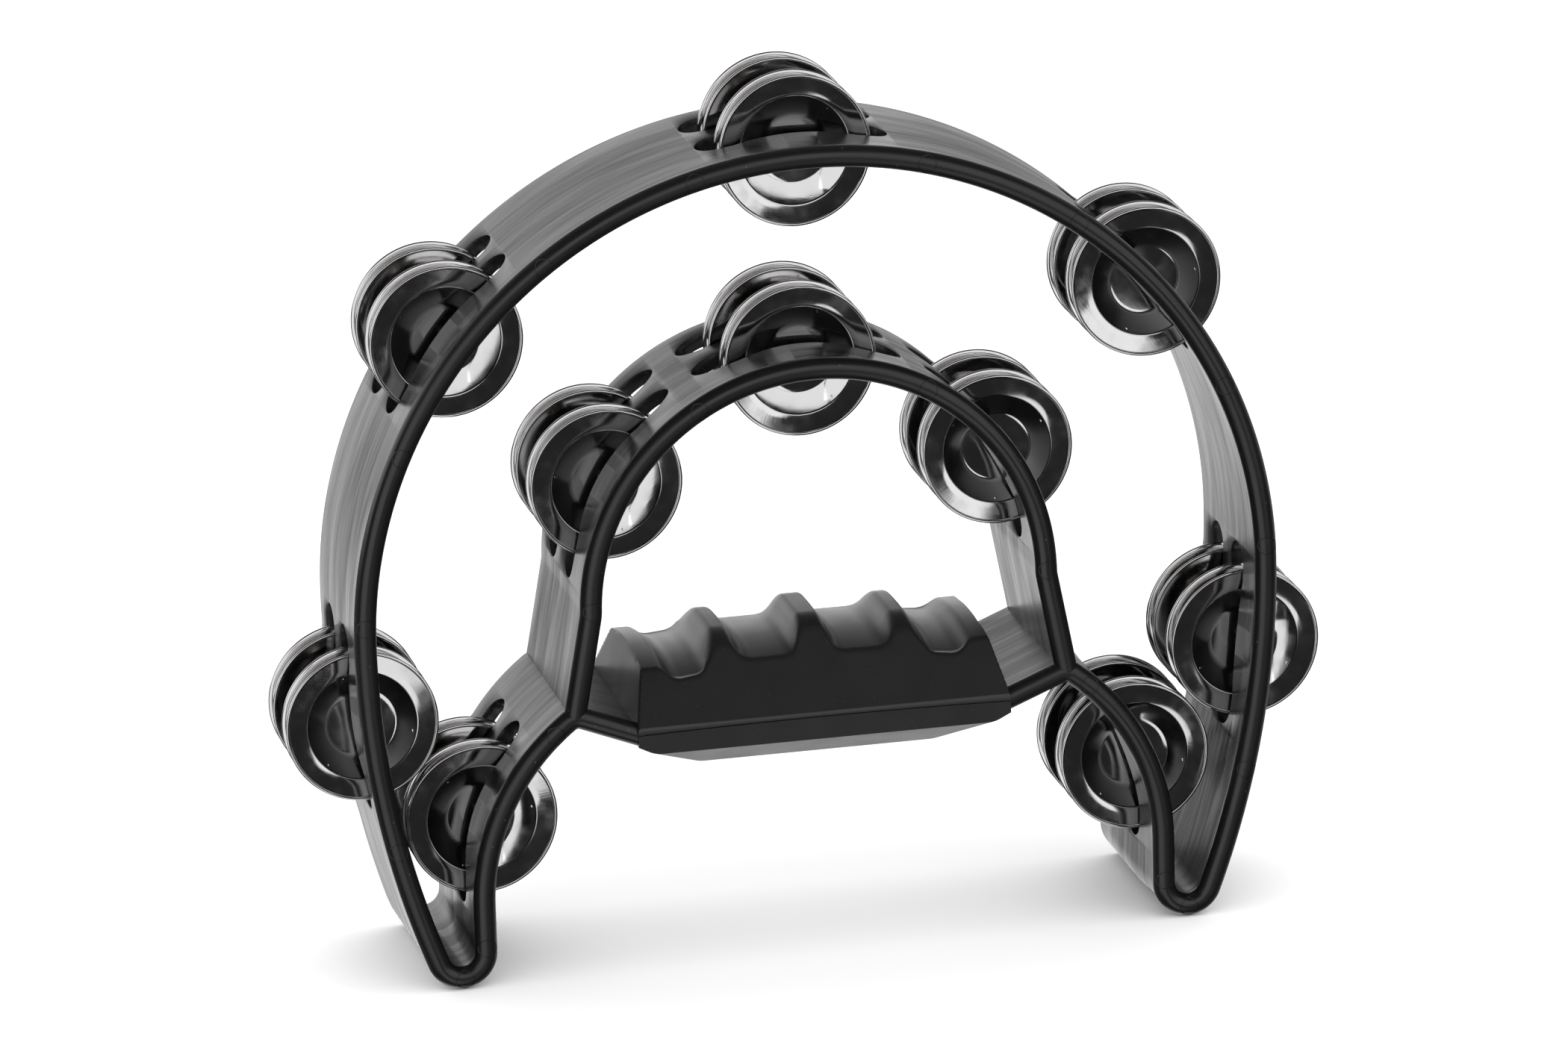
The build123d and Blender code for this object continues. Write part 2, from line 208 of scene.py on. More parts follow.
def finish_piece(obj, material, slot, body, *replaced):
    """Material, body and the CAD nodes that a piece stands for; the slot argument is not used."""
    obj.data.materials.clear()
    obj.data.materials.append(material)
    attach(obj, body)
    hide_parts(*replaced)


def shade(mesh, degrees_limit):
    """Smooth shading that keeps edges sharper than the limit."""
    mesh.polygons.foreach_set("use_smooth", [True] * len(mesh.polygons))
    mesh.set_sharp_from_angle(angle=math.radians(degrees_limit))


def mesh_from(bm, name):
    mesh = bpy.data.meshes.new(name)
    bm.to_mesh(mesh)
    bm.free()
    return mesh


def mesh_of(obj):
    """The object's mesh as its modifiers leave it."""
    graph = bpy.context.evaluated_depsgraph_get()
    return bpy.data.meshes.new_from_object(obj.evaluated_get(graph), depsgraph=graph)


def wall(bm, first, second):
    """Faces between two closed loops of vertices."""
    for i in range(len(first)):
        j = (i + 1) % len(first)
        bm.faces.new((first[i], first[j], second[j], second[i]))


def station_place(station):
    """The pin's place in the front view."""
    low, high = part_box(f"pin_{station}")
    return (low.x + high.x) / 2, (low.z + high.z) / 2


# ---------------------------------------------------------------- node trees


def add_node(tree, kind, inputs=(), **attributes):
    """A node with its attributes set and its inputs given as values or as sockets to link from."""
    node = tree.nodes.new(kind)
    for key, value in attributes.items():
        setattr(node, key, value)
    for key, value in dict(inputs).items():
        if isinstance(value, bpy.types.NodeSocket):
            tree.links.new(value, node.inputs[key])
        else:
            node.inputs[key].default_value = value
    return node


def wired(tree, kind, inputs=(), **attributes):
    """First output of a new node."""
    return add_node(tree, kind, inputs, **attributes).outputs[0]


def noise(tree, place, scale, detail):
    """Output of a noise texture."""
    return wired(tree, "ShaderNodeTexNoise", {"Vector": place, "Scale": scale, "Detail": detail})


def maths(tree, operation, *values):
    """Output of a Math node."""
    return wired(tree, "ShaderNodeMath", enumerate(values), operation=operation)


def vectors(tree, operation, *values):
    """Output of a Vector Math node."""
    return wired(tree, "ShaderNodeVectorMath", enumerate(values), operation=operation)


def mapped(tree, value, source, target, interpolation="LINEAR"):
    """Output of a Map Range node that takes the source range to the target range."""
    return wired(tree, "ShaderNodeMapRange", {
        "Value": value, "From Min": source[0], "From Max": source[1],
        "To Min": target[0], "To Max": target[1]}, interpolation_type=interpolation)


def geometry_of(tree, source):
    """The geometry of the object in an object socket."""
    return add_node(tree, "GeometryNodeObjectInfo", {"Object": source}).outputs["Geometry"]


def new_tree(name, sockets):
    """A geometry node group with named inputs; returns the tree, what it's given and its output node."""
    tree = bpy.data.node_groups.new(name, "GeometryNodeTree")
    tree.interface.new_socket("Geometry", in_out="INPUT", socket_type="NodeSocketGeometry")
    for label, kind in sockets:
        tree.interface.new_socket(label, in_out="INPUT", socket_type=kind)
    tree.interface.new_socket("Geometry", in_out="OUTPUT", socket_type="NodeSocketGeometry")
    return tree, tree.nodes.new("NodeGroupInput").outputs, tree.nodes.new("NodeGroupOutput")


def finish_tree(tree, geometry, material, end):
    """Makes the instances real, gives them the material and sends them to the output node."""
    real = wired(tree, "GeometryNodeRealizeInstances", {0: geometry})
    dressed = wired(tree, "GeometryNodeSetMaterial", {"Geometry": real, "Material": material})
    tree.links.new(dressed, end.inputs[0])
    return tree


def joined(tree, *parts):
    """The parts' geometry as one; the last part given comes first."""
    whole = add_node(tree, "GeometryNodeJoinGeometry")
    for part in parts:
        tree.links.new(part, whole.inputs[0])
    return whole.outputs[0]


def grow(name, mesh, tree, values):
    """Runs a node group on a mesh with the named inputs set, and returns the result as a plain mesh."""
    host = link(name, mesh)
    modifier = host.modifiers.new("nodes", "NODES")
    modifier.node_group = tree
    for item in tree.interface.items_tree:
        if item.item_type == "SOCKET" and item.in_out == "INPUT" and item.name in values:
            modifier[item.identifier] = values[item.name]
    result = mesh_of(host)
    bpy.data.objects.remove(host)
    return result


# ---------------------------------------------------------------- materials


def new_material(name, **shader_inputs):
    material = bpy.data.materials.new(name)
    material.use_nodes = True
    shader = material.node_tree.nodes["Principled BSDF"]
    for key, value in shader_inputs.items():
        shader.inputs[key.replace("_", " ").title().replace("Ior", "IOR")].default_value = value
    return material, material.node_tree, shader


def object_place(tree):
    return add_node(tree, "ShaderNodeTexCoord").outputs["Object"]


def scaled(tree, place, scale):
    """A place with each axis scaled on its own."""
    return wired(tree, "ShaderNodeMapping", {"Vector": place, "Scale": scale})


def speckle(tree, shader, place, spacing, reach, ground, fleck):
    """Base colour with small flecks at a spacing, their solid and faded radii given as shares of it."""
    cells = add_node(tree, "ShaderNodeTexVoronoi", {"Vector": place, "Scale": 1 / spacing})
    share = mapped(tree, cells.outputs["Distance"], reach, (1.0, 0.0))
    base = add_node(tree, "ShaderNodeMix", {
        "Factor": share, "A": (*ground, 1), "B": (*fleck, 1)}, data_type="RGBA")
    tree.links.new(base.outputs[2], shader.inputs["Base Color"])


def vary_roughness(tree, shader, pattern, source, target):
    tree.links.new(mapped(tree, pattern, source, target), shader.inputs["Roughness"])


def bumps(tree, shader, *layers):
    """Stacks bumps, each given as a pattern, a strength and a height."""
    below = {}
    for pattern, strength, height in layers:
        layer = add_node(tree, "ShaderNodeBump", {
            "Height": pattern, "Strength": strength, "Distance": height, **below})
        below = {"Normal": layer.outputs["Normal"]}
    tree.links.new(below["Normal"], shader.inputs["Normal"])


def moulded_abs_semigloss():
    """Moulded ABS from a polished tool: deep black with soft highlights, faint flow lines and dust."""
    made, tree, shader = new_material("moulded_abs_semigloss", ior=1.54, roughness=0.3)
    place = object_place(tree)
    # flow lines that run along the bands, some 40 mm long and 6 mm apart
    waves = noise(tree, scaled(tree, place, (1 / (40 * MM), 1 / (6 * MM), 1 / (40 * MM))), 1.0, 2.0)
    # tooling grain of about 0.3 mm, drawn at 0.6 mm so that it shows
    grain = noise(tree, place, 1 / (0.6 * MM), 3.0)
    # dust and moulding specks, 0.25 mm across and a few millimetres apart
    speckle(tree, shader, place, 4 * MM, (0.03, 0.055), settings().finish.frame_black, linear("#4a484a"))
    vary_roughness(tree, shader, waves, (0.3, 0.7), (0.25, 0.36))
    bumps(tree, shader, (waves, 0.8, 0.3 * MM), (grain, 0.12, 0.05 * MM))
    return made


def moulded_abs_matte():
    """ABS from a spark-eroded tool: dark grey-black, with a fine even grain and a few bright specks."""
    made, tree, shader = new_material("moulded_abs_matte", ior=1.54, roughness=0.4)
    place = object_place(tree)
    # erosion grain of about 0.1 mm, drawn at 0.35 mm so that it shows
    grain = noise(tree, place, 1 / (0.35 * MM), 2.0)
    clouds = noise(tree, place, 1 / (15 * MM), 3.0)
    speckle(tree, shader, place, 2.6 * MM, (0.04, 0.07), settings().finish.grip_black, linear("#3c3b3c"))
    vary_roughness(tree, shader, clouds, (0.3, 0.7), (0.29, 0.37))
    bumps(tree, shader, (grain, 0.35, 0.06 * MM))
    return made


def bright_nickel_on_steel():
    """Spun steel sheet, bright nickel plated: mirror-like, with fine rolling lines and small tarnish."""
    made, tree, shader = new_material("bright_nickel_on_steel", metallic=1.0, roughness=0.08)
    shader.inputs["Base Color"].default_value = (*settings().finish.nickel, 1)
    disc = add_node(tree, "ShaderNodeUVMap", uv_map="disc").outputs["UV"]
    # rolling lines across the 42.5 mm sheet, about 0.15 mm apart and drawn at 0.4 mm
    lines = noise(tree, scaled(tree, disc, (2.0, 42.5 / 0.4, 1.0)), 1.0, 3.0)
    smears = noise(tree, disc, 7.0, 4.0)
    vary_roughness(tree, shader, smears, (0.35, 0.7), (0.05, 0.14))
    bumps(tree, shader, (lines, 0.12, 0.02 * MM))
    return made


def drawn_wire():
    """Bright drawn steel wire: satin along its length."""
    made, tree, shader = new_material("drawn_steel_wire", metallic=1.0, roughness=0.25)
    shader.inputs["Base Color"].default_value = (*settings().finish.pin_steel, 1)
    # drawing lines along Y, a quarter of a millimetre apart
    lines = noise(tree, scaled(tree, object_place(tree), (1 / MM, 0.02 / MM, 1 / MM)), 4.0, 2.0)
    vary_roughness(tree, shader, lines, (0.3, 0.7), (0.18, 0.34))
    return made


def zinc_plate():
    """Zinc-plated screw steel: grey, a little cloudy."""
    made, tree, shader = new_material("zinc_plated_steel", metallic=1.0, roughness=0.38)
    shader.inputs["Base Color"].default_value = (*settings().finish.zinc, 1)
    clouds = noise(tree, object_place(tree), 1 / (1.5 * MM), 3.0)
    vary_roughness(tree, shader, clouds, (0.3, 0.7), (0.3, 0.5))
    return made


def seamless_paper():
    """Matte paper sweep: an even pale surface without gloss."""
    made, _, shader = new_material("seamless_paper", roughness=0.9)
    shader.inputs["Base Color"].default_value = (*settings().finish.floor, 1)
    shader.inputs["Specular IOR Level"].default_value = 0.0
    return made


# ---------------------------------------------------------------- frame


def arc(middle, radius, start, end, step=1.0 * MM):
    """Points on a front-view circle from one angle to another, both in degrees."""
    count = max(2, math.ceil(abs(math.radians(end - start)) * radius / step))
    turns = [math.radians(start + (end - start) * i / count) for i in range(count + 1)]
    return [(middle[0] + radius * math.cos(t), middle[1] + radius * math.sin(t)) for t in turns]


def rounded(before, after, radius):
    """Joins two runs of points whose ends meet, with an arc of that radius instead of the corner."""
    corner = Vector(before[-1])
    come = (corner - Vector(before[-2])).normalized()
    leave = (Vector(after[1]) - corner).normalized()
    turn = come.angle_signed(leave)
    trim = radius * math.tan(abs(turn) / 2)
    before = [p for p in before if (Vector(p) - corner).length > trim]
    after = [p for p in after if (Vector(p) - corner).length > trim]
    start = corner - come * trim
    side = -1 if turn > 0 else 1
    middle = start + Vector((-come.y, come.x)) * radius * side
    first = math.degrees(math.atan2(start.y - middle.y, start.x - middle.x))
    return before + arc(middle, radius, first, first - math.degrees(turn), 0.5 * MM) + after


def straight(start, end, step=1.0 * MM):
    count = max(1, math.ceil((Vector(end) - Vector(start)).length / step))
    return [tuple(Vector(start).lerp(Vector(end), i / count)) for i in range(count + 1)]


def mirrored(points):
    """A right half that starts at the top, made whole from its left end to its right end."""
    return [(-x, z) for x, z in reversed(points)] + points[1:]


def without_repeats(points):
    nearest = 0.05 * MM
    kept = [points[0]]
    for point in points[1:]:
        if (Vector(point) - Vector(kept[-1])).length > nearest:
            kept.append(point)
    return kept


def outer_line(f):
    """Centre line of the outer band: bar, horn, tip and side, over the top, and the same on the right."""
    tip = (f.horn_x + f.tip_radius, f.tip_radius + f.bead_radius)
    inset, drop = f.outer_radius - tip[0], f.outer_z - tip[1]
    side_radius = (inset**2 + drop**2 - f.tip_radius**2) / (2 * (inset - f.tip_radius))
    side = (f.outer_radius - side_radius, f.outer_z)
    side_end = math.degrees(math.atan2(tip[1] - side[1], tip[0] - side[0]))
    horn = (f.horn_x - f.horn_radius, f.horn_z)
    junction = (f.junction_x, f.junction_z)
    horn_end = math.degrees(math.atan2(junction[1] - horn[1], junction[0] - horn[0]))
    down = (arc((0, f.outer_z), f.outer_radius, 90, 0) + arc(side, side_radius, 0, side_end)
            + arc(tip, f.tip_radius, side_end, -180, 0.5 * MM)
            + straight((f.horn_x, tip[1]), (f.horn_x, f.horn_z)) + arc(horn, f.horn_radius, 0, horn_end))
    bar = straight(junction, (f.bar_end_x, f.bar_end_z))
    return mirrored(without_repeats(rounded(down, bar, f.corner)))


def inner_line(f):
    """Centre line of the inner band: one leg, over the top, and the other leg."""
    top = arc((0, f.inner_z), f.inner_radius, 90, 0)
    leg = straight((f.inner_radius, f.inner_z), (f.junction_x, f.junction_z))
    shoulder_radius = 12 * MM
    return mirrored(without_repeats(rounded(top, leg, shoulder_radius)))


def lengths_along(points):
    """Each point's distance along the line, counted from its middle."""
    run = [0.0]
    for a, b in zip(points, points[1:]):
        run.append(run[-1] + (Vector(b) - Vector(a)).length)
    return [r - run[-1] / 2 for r in run]


def place_along(points, spot):
    """The distance along the line, from its middle, of the point nearest to a spot."""
    runs = lengths_along(points)
    nearest = min(range(len(points)), key=lambda i: (Vector(points[i]) - Vector(spot)).length)
    return runs[nearest]


def band_section(f):
    """Cross-section of a band in depth and height: round bead, fillets, web and a softened back edge."""
    fillet = 0.9 * MM
    reach = f.bead_radius + fillet
    rise = f.web_half + fillet
    lean = math.asin(rise / reach)
    fillet_y = f.bead_y + reach * math.cos(lean)
    upper = [(fillet_y - fillet * math.sin(t), rise - fillet * math.cos(t))
             for t in [i / 5 * (math.pi / 2 - lean) for i in range(6)]]
    bead = [(f.bead_y + f.bead_radius * math.cos(t), f.bead_radius * math.sin(t))
            for t in [lean + i / 26 * (2 * math.pi - 2 * lean) for i in range(1, 26)]]
    lower = [(y, -t) for y, t in reversed(upper)]
    soft = 0.5 * MM
    back = [(f.web_back - soft + soft * math.sin(t), f.web_half - soft + soft * math.cos(t))
            for t in [i / 4 * math.pi / 2 for i in range(5)]]
    return upper + bead + lower + [(y, -t) for y, t in back] + back[::-1]


def slot_outline(f, half):
    """Half-depth outline of a slot: parallel sides and pointed ends."""
    width, point = f.slot_width / 2, half - f.slot_straight
    quarter = [(f.slot_straight + point * math.cos(t), width * math.sin(t))
               for t in [i / 10 * math.pi / 2 for i in range(11)]]
    half_loop = quarter + [(-x, y) for x, y in reversed(quarter)]
    return half_loop + [(-x, -y) for x, y in half_loop[1:-1]]


def prism(outline, low, high):
    """A closed prism over a flat outline."""
    bm = bmesh.new()
    bottom = [bm.verts.new((x, y, low)) for x, y in outline]
    top = [bm.verts.new((x, y, high)) for x, y in outline]
    bm.faces.new(bottom[::-1])
    bm.faces.new(top)
    wall(bm, bottom, top)
    bmesh.ops.recalc_face_normals(bm, faces=bm.faces)
    return bm


def cut_across(bm, faces, runs):
    """Cuts the faces at every run, middle run first, so that a later cut meets only its own side."""
    if not runs or not faces:
        return
    middle = len(runs) // 2
    edges = list({edge for face in faces for edge in face.edges})
    verts = list({vert for face in faces for vert in face.verts})
    cut = bmesh.ops.bisect_plane(
        bm, geom=verts + edges + faces, dist=1e-7, plane_co=(runs[middle], 0, 0), plane_no=(1, 0, 0))
    halves = [part for part in cut["geom"] if isinstance(part, bmesh.types.BMFace)]
    before = [face for face in halves if face.calc_center_median().x < runs[middle]]
    after = [face for face in halves if face.calc_center_median().x >= runs[middle]]
    cut_across(bm, before, runs[:middle])
    cut_across(bm, after, runs[middle + 1:])


def flat_band(f, points, slots):
    """The band unrolled flat: x along its centre line, y its depth, z its thickness, with its slots cut."""
    runs = lengths_along(points)
    section = band_section(f)
    slot_rounding = 0.4 * MM
    cutter_reach = 10 * MM
    bm = bmesh.new()
    ends = [[bm.verts.new((x, y, t)) for y, t in section] for x in (runs[0], runs[-1])]
    bm.faces.new(ends[0])
    bm.faces.new(ends[1][::-1])
    for i in range(len(section)):
        j = (i + 1) % len(section)
        bm.faces.new((ends[0][i], ends[1][i], ends[1][j], ends[0][j]))
    bmesh.ops.recalc_face_normals(bm, faces=bm.faces)
    band = link("flat_band", mesh_from(bm, "flat_band"))
    cutters = bmesh.new()
    for at, half in slots:
        for row in (f.row_front, f.row_back):
            outline = [(x + at, y + row) for x, y in slot_outline(f, half)]
            one_mesh = mesh_from(prism(outline, -cutter_reach, cutter_reach), "slot")
            cutters.from_mesh(one_mesh)
            bpy.data.meshes.remove(one_mesh)
    cutter = link("slots", mesh_from(cutters, "slots"))
    cut = band.modifiers.new("slots", "BOOLEAN")
    cut.operation, cut.solver, cut.object = "DIFFERENCE", "EXACT", cutter
    mesh = mesh_of(band)
    for obj in (band, cutter):
        bpy.data.objects.remove(obj)
    bm = bmesh.new()
    bm.from_mesh(mesh)
    flats = {face for face in bm.faces if abs(face.normal.z) > 0.999}
    rims = [edge for edge in bm.edges if len(edge.link_faces) == 2
            and sum(face in flats for face in edge.link_faces) == 1
            and min(abs(face.normal.z) for face in edge.link_faces) < 0.01
            and abs(edge.verts[0].co.x) < runs[-1] - MM]
    bmesh.ops.bevel(bm, geom=rims, offset=slot_rounding, segments=2, profile=0.5, affect="EDGES")
    cut_across(bm, bm.faces[:], runs[1:-1])
    return mesh_from(bm, "flat_band")


def mark_rings(tree, given, along, height):
    """Nodes that draw a fine raised ring on the flat band's bead at each mark; returns their output."""
    loop = wired(tree, "GeometryNodeCurvePrimitiveCircle", {
        "Resolution": 40, "Radius": given["mark_radius"]})
    upright = wired(tree, "GeometryNodeTransform", {"Geometry": loop, "Rotation": (math.pi / 2, 0, 0)})
    copies = wired(tree, "GeometryNodeInstanceOnPoints", {
        "Points": geometry_of(tree, given["marks"]), "Instance": upright})
    real = wired(tree, "GeometryNodeRealizeInstances", {0: copies})
    # the bead's front at each height
    bead_square = maths(tree, "POWER", given["bead_radius"], 2.0)
    left = maths(tree, "SUBTRACT", bead_square, maths(tree, "MULTIPLY", height, height))
    depth = maths(tree, "SUBTRACT", given["bead_y"], maths(tree, "SQRT", left))
    on_bead = wired(tree, "ShaderNodeCombineXYZ", {0: along, 1: depth, 2: height})
    draped = wired(tree, "GeometryNodeSetPosition", {"Geometry": real, "Position": on_bead})
    line = wired(tree, "GeometryNodeCurvePrimitiveCircle", {"Resolution": 6, "Radius": given["mark_line"]})
    return wired(tree, "GeometryNodeCurveToMesh", {"Curve": draped, "Profile Curve": line})


def wrap_tree():
    """Node group that wraps a flat band round a front-view line and thickens it at pads and tips."""
    measures = ["half_run", "web_start", "web_full", "tip_low", "tip_rise", *WRAP_SIZES]
    tree, given, end = new_tree("wrap_band", [
        *[(label, "NodeSocketObject") for label in ("line", "pads", "marks")],
        *[(label, "NodeSocketFloat") for label in measures],
        ("material", "NodeSocketMaterial")])
    place = wired(tree, "GeometryNodeInputPosition")
    along, depth, height = add_node(tree, "ShaderNodeSeparateXYZ", {0: place}).outputs
    whole = joined(tree, mark_rings(tree, given, along, height), given["Geometry"])
    # where each point lies on the line, and which way is outward there
    curve = wired(tree, "GeometryNodeMeshToCurve", {"Mesh": geometry_of(tree, given["line"])})
    run = maths(tree, "ADD", along, given["half_run"])
    sample = add_node(
        tree, "GeometryNodeSampleCurve", {"Curves": curve, "Length": run}, mode="LENGTH").outputs
    across = vectors(tree, "CROSS_PRODUCT", sample["Tangent"], (0, 1, 0))
    outward = vectors(tree, "NORMALIZE", across)
    # pads bulge round the pins
    on_run = wired(tree, "ShaderNodeCombineXYZ", {0: along})
    near = add_node(tree, "GeometryNodeProximity", {
        "Geometry": geometry_of(tree, given["pads"]), "Sample Position": on_run}, target_element="POINTS")
    share = maths(tree, "DIVIDE", near.outputs["Distance"], given["pad_half"])
    squared = maths(tree, "POWER", maths(tree, "MINIMUM", share, 1.0), 2.0)
    rise = maths(tree, "MULTIPLY", maths(tree, "SUBTRACT", 1.0, squared), given["pad_rise"])
    pad = maths(tree, "DIVIDE", rise, given["web_half"])
    # the tips thicken on their outer side only
    line_height = add_node(tree, "ShaderNodeSeparateXYZ", {0: sample["Position"]}).outputs[2]
    lowness = mapped(tree, line_height, (given["tip_top"], given["tip_low"]), (0.0, given["tip_rise"]))
    tip = maths(tree, "MULTIPLY", lowness, maths(tree, "GREATER_THAN", height, 0.0))
    # neither thickens the bead
    past_bead = mapped(tree, depth, (given["web_start"], given["web_full"]), (0.0, 1.0), "SMOOTHSTEP")
    gain = maths(tree, "MULTIPLY", maths(tree, "ADD", pad, tip), past_bead)
    lifted = maths(tree, "MULTIPLY", height, maths(tree, "ADD", gain, 1.0))
    offset = wired(tree, "ShaderNodeVectorMath", {0: outward, "Scale": lifted}, operation="SCALE")
    back = wired(tree, "ShaderNodeCombineXYZ", {1: depth})
    target = vectors(tree, "ADD", vectors(tree, "ADD", sample["Position"], back), offset)
    moved = wired(tree, "GeometryNodeSetPosition", {"Geometry": whole, "Position": target})
    return finish_tree(tree, moved, given["material"], end)


def wire_object(name, points):
    """A chain of edges through front-view points, for a node group to read."""
    mesh = bpy.data.meshes.new(name)
    mesh.from_pydata([(x, 0, z) for x, z in points], [(i, i + 1) for i in range(len(points) - 1)], [])
    return link(name, mesh)


def points_object(name, places):
    mesh = bpy.data.meshes.new(name)
    mesh.from_pydata(places, [], [])
    return link(name, mesh)


def mark_runs(f, points, stations):
    """Where the ejector marks lie along a band: on both sides of each station, and at the tips."""
    runs = [at + side * f.mark_offset for at, _ in stations for side in (-1, 1)]
    low = min(z for _, z in points)
    if low < f.tip_radius:
        runs += [place_along(points, (side * (f.horn_x + f.tip_radius), low)) for side in (-1, 1)]
    runs.sort()
    return [run for i, run in enumerate(runs) if i == 0 or run - runs[i - 1] > f.mark_radius]


class TAMB_OT_frame(bpy.types.Operator):
    """Moulded frame: both bands with bead, web, pads and slots"""

    bl_idname = "tambourine.frame"
    bl_label = "Frame"

    def execute(self, context):
        f = settings().frame
        material = moulded_abs_semigloss()
        tree = wrap_tree()
        lines = {"outer": outer_line(f), "inner": inner_line(f)}
        stations = {"outer": [], "inner": []}
        for station in STATIONS:
            spot = station_place(station)
            band = "inner" if station.startswith(("inner_top", "inner_upper")) else "outer"
            half = f.slot_inner if band == "inner" else f.slot_outer
            stations[band].append((place_along(lines[band], spot), half))
        whole = bmesh.new()
        for band, points in lines.items():
            wire = wire_object(f"{band}_line", points)
            pads = points_object(f"{band}_pads", [(at, 0, 0) for at, _ in stations[band]])
            mark_places = [(at, 0, 0) for at in mark_runs(f, points, stations[band])]
            marks = points_object(f"{band}_marks", mark_places)
            bent = grow(f"{band}_band", flat_band(f, points, stations[band]), tree, {
                "line": wire, "pads": pads, "marks": marks, "half_run": lengths_along(points)[-1],
                "web_start": f.bead_y + f.bead_radius, "web_full": -21 * MM,
                "tip_low": f.tip_radius + f.bead_radius, "tip_rise": f.bead_radius / f.web_half - 1,
                "material": material, **{key: getattr(f, key) for key in WRAP_SIZES}})
            whole.from_mesh(bent)
            for obj in (wire, pads, marks):
                bpy.data.objects.remove(obj)
        mesh = mesh_from(whole, "frame_shell")
        shade(mesh, 35)
        finish_piece(link("frame_shell", mesh), material, "frame_abs", ROOT, "frame")
        return {"FINISHED"}


# ---------------------------------------------------------------- grip


def smooth_min(a, b, soft):
    """The lesser of two heights, with the crease between them rounded."""
    gap = max(soft - abs(a - b), 0.0) / soft
    return min(a, b) - gap * gap * soft / 4


def ridge_height(x):
    """Front-view height of the upper grip, without its rounding: five ridges and four grooves."""
    x = abs(x) / MM
    for (x0, z0), (x1, z1) in zip(RIDGE_KNOTS, RIDGE_KNOTS[1:]):
        if x <= x1:
            return (z0 + (z1 - z0) * (x - x0) / (x1 - x0)) * MM
    return RIDGE_KNOTS[-1][1] * MM


def soft_ridge_height(x, window):
    """Ridge height averaged over a short window, which rounds its corners."""
    steps = 9
    return sum(ridge_height(x + window * (i / (steps - 1) - 0.5) * 2) for i in range(steps)) / steps


def height_field(name, half_x, half_y, spacing, height, rim):
    """A closed block: a grid whose height follows a rule on one side and a rim height on the other."""
    count_x, count_y = round(2 * half_x / spacing), round(2 * half_y / spacing)
    across = [-half_x + 2 * half_x * i / count_x for i in range(count_x + 1)]
    deep = [-half_y + 2 * half_y * j / count_y for j in range(count_y + 1)]
    bm = bmesh.new()
    rows = [[bm.verts.new((x, y, height(x, y))) for x in across] for y in deep]
    for j in range(count_y):
        for i in range(count_x):
            bm.faces.new((rows[j][i], rows[j][i + 1], rows[j + 1][i + 1], rows[j + 1][i]))
    loop = (rows[0] + [row[-1] for row in rows[1:]] + rows[-1][-2::-1] + [row[0] for row in rows[-2:0:-1]])
    base = [bm.verts.new((v.co.x, v.co.y, rim(v.co.x))) for v in loop]
    wall(bm, base, loop)
    bm.faces.new(base[::-1])
    bmesh.ops.recalc_face_normals(bm, faces=bm.faces)
    return mesh_from(bm, name)


class TAMB_OT_grip(bpy.types.Operator):
    """Two-part hand grip with finger grooves"""

    bl_idname = "tambourine.grip"
    bl_label = "Grip"

    def execute(self, context):
        g = settings().grip
        material = moulded_abs_matte()
        lean = (g.shoulder_z - g.waist_z) / (g.half_depth - g.top_half_depth)
        end_rise, end_inset = 13.2, 3.2
        end_lean = end_rise / end_inset
        ridge_softness = 1.2 * MM
        groove_depth = 10 * MM
        least_crown, edge_drop = 0.25, -0.4
        fall_start, fall_rate, fall_fade = 8.0, 0.04, 1.3

        def seam(x):
            return g.seam_z + g.seam_bow * (1 - (x / g.half_length) ** 2)

        def top(x, y):
            across = 1 - (y / g.top_half_depth) ** 2
            ridge = soft_ridge_height(x, ridge_softness)
            low = (ridge_height(0) - ridge) / groove_depth
            # ridges fall away towards the front and back, grooves rise towards the middle
            past = max(abs(y) / MM - fall_start, 0.0)
            fall = fall_rate * past ** 2 * MM * max(1.0 - fall_fade * low, 0.0)
            crowned = ridge + max(across, edge_drop) * g.crown * min(1.0, least_crown + low) - fall
            side = g.waist_z + (g.half_depth - abs(y)) * lean
            end = g.waist_z + (g.half_length - abs(x)) * end_lean
            return max(smooth_min(smooth_min(crowned, side, 2 * g.lip), end, g.lip), g.waist_z)

        upper = height_field("grip_upper_shell", g.half_length, g.half_depth, g.grid, top, seam)
        shade(upper, 40)
        finish_piece(link("grip_upper_shell", upper), material, "grip_abs", ROOT, "grip_upper")

        front_lean = (g.skirt_z - g.base_z) / (g.half_depth - g.base_half_depth)
        tail_lean = (g.skirt_end_z - g.base_z) / (g.half_length - g.base_half_length)
        edge_softness = 0.8 * MM
        seam_gap = 0.25 * MM

        def bottom(x, y):
            front = g.skirt_z - (g.half_depth - abs(y)) * front_lean
            tail = g.skirt_end_z - (g.half_length - abs(x)) * tail_lean
            return -smooth_min(smooth_min(-front, -tail, edge_softness), -g.base_z, edge_softness)

        lower = height_field("grip_cover_shell", g.half_length, g.half_depth, g.grid, bottom,
                             lambda x: seam(x) - seam_gap)
        shade(lower, 40)
        finish_piece(link("grip_cover_shell", lower), material, "grip_abs", ROOT, "grip_cover")
        return {"FINISHED"}


# ---------------------------------------------------------------- jingles


